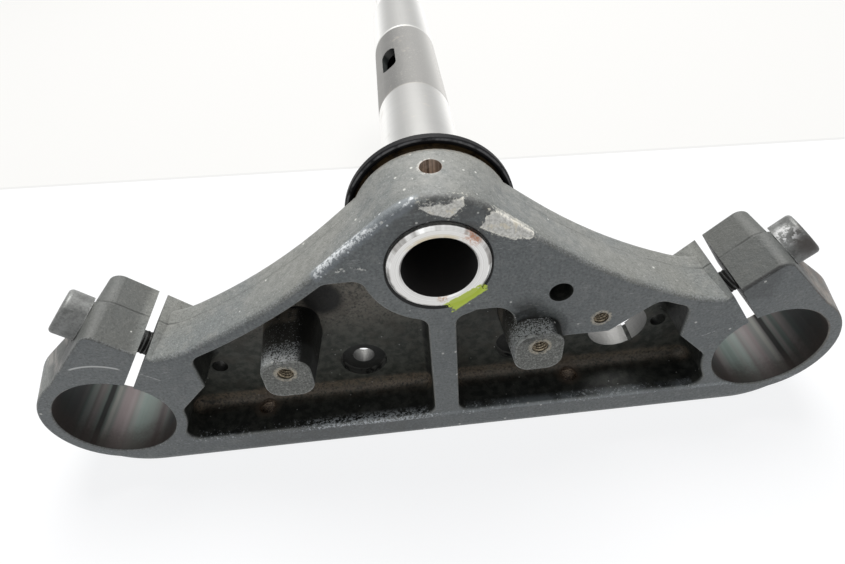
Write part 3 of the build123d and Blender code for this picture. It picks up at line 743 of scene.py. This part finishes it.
def black_rubber():
    """The dust seal: black rubber with a painted highlight along the lip and a greasy inner edge."""
    g = Graph("black_rubber")
    patch = g.noise(5.0, 4.0, 0.65)
    grain = g.noise(0.6, 3.0, 0.6)
    r = g.away(g.x, g.z, AXIS)
    color = g.mix(g.step(patch, 0.4, 0.7), (0.004, 0.004, 0.005), (0.010, 0.010, 0.011))
    color = g.mix(g.times(g.step(grain, 0.64, 0.76), 0.3), color, (0.05, 0.048, 0.046))
    # Painted highlight: a grey line along the lip's lower outer edge
    lip = g.times(g.band(r, 27.2, 27.75, 0.2), g.step(g.y, 26.0, 25.7), g.step(patch, 0.3, 0.55))
    color = g.mix(g.times(lip, 0.8), color, (0.26, 0.26, 0.27))
    grease = g.times(g.step(r, 25.9, 25.2), g.step(patch, 0.3, 0.6))
    color = g.mix(g.times(grease, 0.75), color, (0.085, 0.055, 0.024))
    rough = g.blend(patch, 0.40, 0.6)
    g.put(g.shader.inputs["Specular IOR Level"], 0.11)
    g.bump(g.plus(g.times(grain, 0.03), g.times(patch, 0.05)))
    return g.finish(color, rough)


def plated_steel():
    """The pinch bolts: dull plated steel, rubbed bright at the edges, with painted shade on the right
    bolt's dark side and painted highlights on the heads.
    """
    g = Graph("plated_steel")
    patch = g.noise(5.5, 4.0, 0.6)
    grain = g.noise(0.7, 3.0, 0.7)
    edge = g.edges(0.9)
    color = g.mix(g.step(patch, 0.36, 0.64), (0.115, 0.118, 0.115), (0.21, 0.215, 0.21))
    color = g.mix(g.times(g.step(grain, 0.5, 0.68), 0.3), color, (0.32, 0.32, 0.31))
    color = g.mix(g.times(g.step(grain, 0.48, 0.34), 0.35), color, (0.055, 0.052, 0.048))
    # Painted shade: the dark side of the right bolt's head
    stain = g.times(g.near((121.5, 6.5, -11.0), 3.5, 5.0), g.step(patch, 0.25, 0.45))
    color = g.mix(g.times(stain, 0.8), color, (0.048, 0.040, 0.036))
    # Painted highlights: a glint on the right head and a faint one on the left
    faint = g.times(g.near((-125.0, 15.0, -13.5), 2.5, 5.0), 0.5)
    glint = g.most(g.near((114.5, 11.0, -11.5), 1.5, 3.5), faint)
    flakes = g.step(g.noise(1.6, 3.0, 0.6), 0.44, 0.58)
    color = g.mix(g.times(glint, flakes, 0.65), color, (0.80, 0.80, 0.80))
    worn = g.times(g.step(edge, 0.012, 0.10), g.step(grain, 0.38, 0.6))
    color = g.mix(g.times(worn, 0.6), color, (0.52, 0.52, 0.51))
    rough = g.blend(grain, 0.40, 0.58)
    g.bump(g.plus(g.times(grain, 0.03), g.times(patch, 0.06)))
    return g.finish(color, rough, 0.5)


def black_thread():
    """Oiled dark steel of the bolts' threads in the slots."""
    g = Graph("black_thread")
    patch = g.noise(1.4, 3.0, 0.6)
    color = g.mix(patch, (0.010, 0.010, 0.010), (0.045, 0.043, 0.040))
    g.bump(g.times(patch, 0.04))
    return g.finish(color, g.blend(patch, 0.3, 0.5), 0.6)


def cut_thread(name, dark, light):
    """A tapped thread in the casting, with rust or dirt in the grooves."""
    g = Graph(name)
    grain = g.noise(0.5, 3.0, 0.7)
    color = g.mix(g.step(grain, 0.38, 0.66), dark, light)
    g.bump(g.times(grain, 0.05))
    return g.finish(color, g.blend(grain, 0.35, 0.6), 0.5)


def steel_thread():
    """The rolled thread at the top of the stem."""
    g = Graph("steel_thread")
    grain = g.noise(0.8, 3.0, 0.6)
    color = g.mix(g.step(grain, 0.36, 0.66), (0.34, 0.33, 0.31), (0.58, 0.57, 0.55))
    g.bump(g.times(grain, 0.03))
    return g.finish(color, g.blend(grain, 0.25, 0.42), 1.0)


def dress(node, material):
    """Gives a node of the part its material."""
    data = nodes[node].data
    data.materials.clear()
    data.materials.append(material)


paint = cast_paint()
steel = turned_steel()
rubber = black_rubber()
plate = plated_steel()
dress("lower_bracket", paint)
dress("steering_stem", steel)
dress("dust_seal", rubber)
dress("pinch_bolt_left", plate)
dress("pinch_bolt_right", plate)


# A thread's steps per turn, its half widths as shares of the pitch, and its sunk root
PER_TURN = 30
ROOT_HALF = 0.44
CREST_HALF = 0.06
ROOT_SINK = 0.04


def thread(name, start, along, length, wall_r, ridge, pitch, material):
    """A helical ridge on a round wall; a negative ridge points inwards."""
    along = Vector(along).normalized()
    across = along.orthogonal().normalized()
    third = along.cross(across)
    count = int(length / pitch * PER_TURN)
    run_out = PER_TURN // 2
    points, faces = [], []
    half = ROOT_HALF * pitch
    flat_half = CREST_HALF * pitch
    root = wall_r - math.copysign(ROOT_SINK, ridge)
    for i in range(count + 1):
        turn = 2 * math.pi * i / PER_TURN
        level = pitch * i / PER_TURN
        grown = min(1.0, (i + 1) / run_out, (count - i + 1) / run_out)
        out = across * math.cos(turn) + third * math.sin(turn)
        crest = wall_r + ridge * grown
        for radius, shift in ((root, -half), (crest, -flat_half), (crest, flat_half), (root, half)):
            points.append((Vector(start) + along * (level + shift) + out * radius) * MM)
    for i in range(count):
        first = 4 * i
        for k in range(4):
            a, b = first + k, first + (k + 1) % 4
            face = (a, b, b + 4, a + 4)
            faces.append(face if ridge > 0 else face[::-1])
    last = 4 * count
    caps = ((3, 2, 1, 0), (last, last + 1, last + 2, last + 3))
    faces += [cap if ridge > 0 else cap[::-1] for cap in caps]
    mesh = bpy.data.meshes.new(name)
    mesh.from_pydata(points, [], faces)
    mesh.update()
    mesh.materials.append(material)
    obj = bpy.data.objects.new(name, mesh)
    scene.collection.objects.link(obj)
    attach(obj, "root")


dirty = cut_thread("dirty_thread", (0.075, 0.058, 0.036), (0.50, 0.42, 0.30))
rusty = cut_thread("rusty_thread", (0.030, 0.020, 0.013), (0.20, 0.15, 0.105))
oily = black_thread()
rolled = steel_thread()

# Where the threads start and how they run, in millimetres
UP = (0, 1, 0)
REARWARD = (0, 0, 1)
TAP_START = 0.7
WALL_START = 0.9
SLOT_HALF = 1.5
STEM_THREAD = 24.0
for label, (tap_x, tap_z) in zip(("left", "right"), POSTS):
    thread("post_thread_" + label, (tap_x, POST_FACE + TAP_START, tap_z), UP, length=14.0,
           wall_r=POST_HOLE_R, ridge=-0.45, pitch=1.0, material=dirty)
thread("pad_thread", (PAD_TAP[0], TAP_START, PAD_TAP[1]), UP, length=12.0,
       wall_r=PAD_TAP_R, ridge=-0.42, pitch=1.0, material=dirty)
for label, wall_x in zip(("left", "right"), WALL_HOLES):
    thread("wall_thread_" + label, (wall_x, WALL_HOLE_Y, FRONT_Z + WALL_START), REARWARD, length=11.6,
           wall_r=WALL_HOLE_R, ridge=-0.5, pitch=1.25, material=rusty)
for label, side in (("left", -1), ("right", 1)):
    out = Vector((side * math.sin(BOLT_TURN), 0, math.cos(BOLT_TURN)))
    along_bolt = BOLT_SIDE - BOLT_RUN - SLOT_HALF
    slot_x = side * (FORK_X - math.cos(BOLT_TURN) * BOLT_REACH) + out.x * along_bolt
    slot_z = FORK_Z + math.sin(BOLT_TURN) * BOLT_REACH + out.z * along_bolt
    thread("bolt_thread_" + label, (slot_x, BOLT_LEVEL, slot_z), out, length=2 * SLOT_HALF,
           wall_r=BOLT_R, ridge=0.2, pitch=1.25, material=oily)
thread("stem_thread", (0, STEM_TOP - STEM_THREAD, 0), UP, length=22.5,
       wall_r=STEM_TOP_R, ridge=0.3, pitch=1.0, material=rolled)

# The camera, as fitted to the photograph, in metres
CAMERA_PLACE = (-0.0083, -0.1250, 0.1098)
CAMERA_FORWARD = (0.018, 0.734, -0.679)
CAMERA_RIGHT = (0.994, -0.084, -0.064)
forward = Vector(CAMERA_FORWARD).normalized()
right = Vector(CAMERA_RIGHT)
right = (right - forward * right.dot(forward)).normalized()
upward = right.cross(forward)
camera_data = bpy.data.cameras.new("camera")
camera_data.sensor_width = 36.0
camera_data.lens = 24.0
camera_data.clip_start = 0.005
camera = bpy.data.objects.new("camera", camera_data)
scene.collection.objects.link(camera)
turn = Matrix((right, upward, -forward)).transposed().to_4x4()
camera.matrix_world = Matrix.Translation(CAMERA_PLACE) @ turn
scene.camera = camera


def seen(tree):
    """1 for rays from the eye, from gloss and through glass."""
    path = tree.nodes.new("ShaderNodeLightPath")
    total = path.outputs["Is Camera Ray"]
    for key in ("Is Glossy Ray", "Is Transmission Ray"):
        node = tree.nodes.new("ShaderNodeMath")
        node.operation = "MAXIMUM"
        tree.links.new(total, node.inputs[0])
        tree.links.new(path.outputs[key], node.inputs[1])
        total = node.outputs[0]
    return total


# How much light a sheet scatters, and how much of its own it sends to the part
SHADE = 0.16
BOUNCE = 0.4


def sheet_material(name, color, glow):
    """A matte pale sheet that keeps shadows but stays near white to the eye."""
    material = bpy.data.materials.new(name)
    material.use_nodes = True
    tree = material.node_tree
    shader = tree.nodes["Principled BSDF"]
    shader.inputs["Base Color"].default_value = (*(SHADE * c for c in color), 1.0)
    shader.inputs["Roughness"].default_value = 0.9
    shader.inputs["Specular IOR Level"].default_value = 0.0
    shader.inputs["Emission Color"].default_value = (*color, 1.0)
    node = tree.nodes.new("ShaderNodeMix")
    tree.links.new(seen(tree), node.inputs[0])
    node.inputs[2].default_value = BOUNCE
    node.inputs[3].default_value = glow
    tree.links.new(node.outputs[0], shader.inputs["Emission Strength"])
    return material


def flat(name, corners, material):
    """One flat piece of the stage."""
    mesh = bpy.data.meshes.new(name)
    mesh.from_pydata(corners, [], [tuple(range(len(corners)))])
    mesh.materials.append(material)
    obj = bpy.data.objects.new(name, mesh)
    scene.collection.objects.link(obj)


# A white sheet under the part on a wide pale table, with a thin grey strip along the sheet's far edge as
# a painted shadow line, in metres
SHEET_Z = FRONT_Z * MM - 0.0002
TABLE_Z = SHEET_Z - 0.0008
EDGE_SHADOW_Z = TABLE_Z + 0.0001
TABLE_HALF = 6
SHEET_HALF = 2.0
FAR_LEFT = 0.361
FAR_RIGHT = 0.051
EDGE_SHADOW_WIDTH = 0.004
table_corners = [
    (-TABLE_HALF, -TABLE_HALF, TABLE_Z),
    (TABLE_HALF, -TABLE_HALF, TABLE_Z),
    (TABLE_HALF, TABLE_HALF, TABLE_Z),
    (-TABLE_HALF, TABLE_HALF, TABLE_Z),
]
sheet_corners = [
    (-SHEET_HALF, -SHEET_HALF, SHEET_Z),
    (SHEET_HALF, -SHEET_HALF, SHEET_Z),
    (SHEET_HALF, FAR_RIGHT, SHEET_Z),
    (-SHEET_HALF, FAR_LEFT, SHEET_Z),
]
# Painted shadow: a thin grey strip along the sheet's far edge
edge_shadow_corners = [
    (SHEET_HALF, FAR_RIGHT + EDGE_SHADOW_WIDTH, EDGE_SHADOW_Z),
    (-SHEET_HALF, FAR_LEFT + EDGE_SHADOW_WIDTH, EDGE_SHADOW_Z),
    (-SHEET_HALF, FAR_LEFT, SHEET_Z),
    (SHEET_HALF, FAR_RIGHT, SHEET_Z),
]
flat("table", table_corners, sheet_material("table", (0.965, 0.96, 0.945), 0.79))
flat("sheet", sheet_corners, sheet_material("sheet", (0.985, 0.99, 1.0), 0.86))
flat("edge_shadow", edge_shadow_corners, sheet_material("edge_shadow", (0.93, 0.93, 0.92), 0.74))

# The surroundings: white to the eye and to gloss, dim as a light
WORLD_SEEN = 1.0
WORLD_LIGHT = 0.24
world = bpy.data.worlds.new("world")
scene.world = world
world.use_nodes = True
tree = world.node_tree
background = tree.nodes["Background"]
background.inputs["Color"].default_value = (0.95, 0.955, 0.96, 1.0)
mix = tree.nodes.new("ShaderNodeMix")
tree.links.new(seen(tree), mix.inputs[0])
mix.inputs[2].default_value = WORLD_LIGHT
mix.inputs[3].default_value = WORLD_SEEN
tree.links.new(mix.outputs[0], background.inputs["Strength"])


def lamp(name, place, target, size, power, color):
    """A round lamp that faces a target."""
    data = bpy.data.lights.new(name, "AREA")
    data.shape = "DISK"
    data.size = size
    data.energy = power
    data.color = color
    obj = bpy.data.objects.new(name, data)
    scene.collection.objects.link(obj)
    obj.location = place
    obj.rotation_euler = (Vector(target) - Vector(place)).to_track_quat("-Z", "Y").to_euler()


lamp("key", (0.04, 0.72, 1.28), (0, 0.05, -0.03), size=1.1, power=30.0, color=(1.0, 0.99, 0.97))
lamp("fill", (-0.4, -1.0, 0.8), (0, 0.0, -0.03), size=0.9, power=1.6, color=(0.93, 0.97, 1.0))
